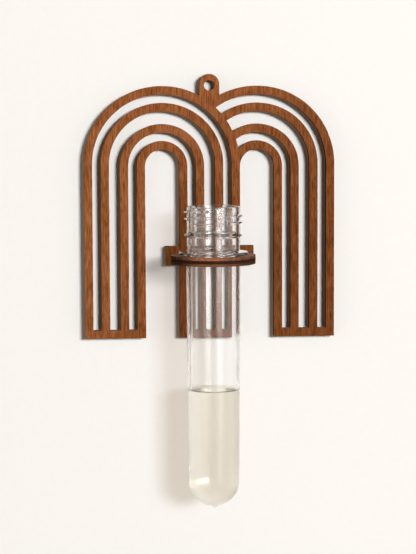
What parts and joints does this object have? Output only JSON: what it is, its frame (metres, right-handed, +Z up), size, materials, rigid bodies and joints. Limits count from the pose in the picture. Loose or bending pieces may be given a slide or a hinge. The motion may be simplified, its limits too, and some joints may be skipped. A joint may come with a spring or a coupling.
{
  "type": "wall-hung propagation vase",
  "caption": "Wall vase for rooting cuttings: a plywood panel of overlapping fretted arches with a ring that holds a clear screw-neck tube by its flange, hung from a hole in its top tab.",
  "frame": {"origin": "centre of the hanging hole, at the panel's back face", "axes": "+Z up, +X to the right seen from the front, +Y into the wall; the front faces -Y"},
  "size_m": [0.121, 0.044, 0.2067],
  "materials": {
    "stained_plywood": "satin stained mahogany-brown veneer with scorched cut edges",
    "clear_plastic": "clear glossy moulded plastic",
    "water": "still water, faintly cloudy; used by the visual model only"
  },
  "bodies": {
    "holder": {"back_plate": "stained_plywood", "tube_ring": "stained_plywood"},
    "tube": {"test_tube": "clear_plastic"}
  },
  "joints": [
    {"name": "tube_lift", "type": "slide", "parent": "holder", "child": "tube", "axis": [0, 0, 1], "range_m": [0, 0.125]}
  ]
}
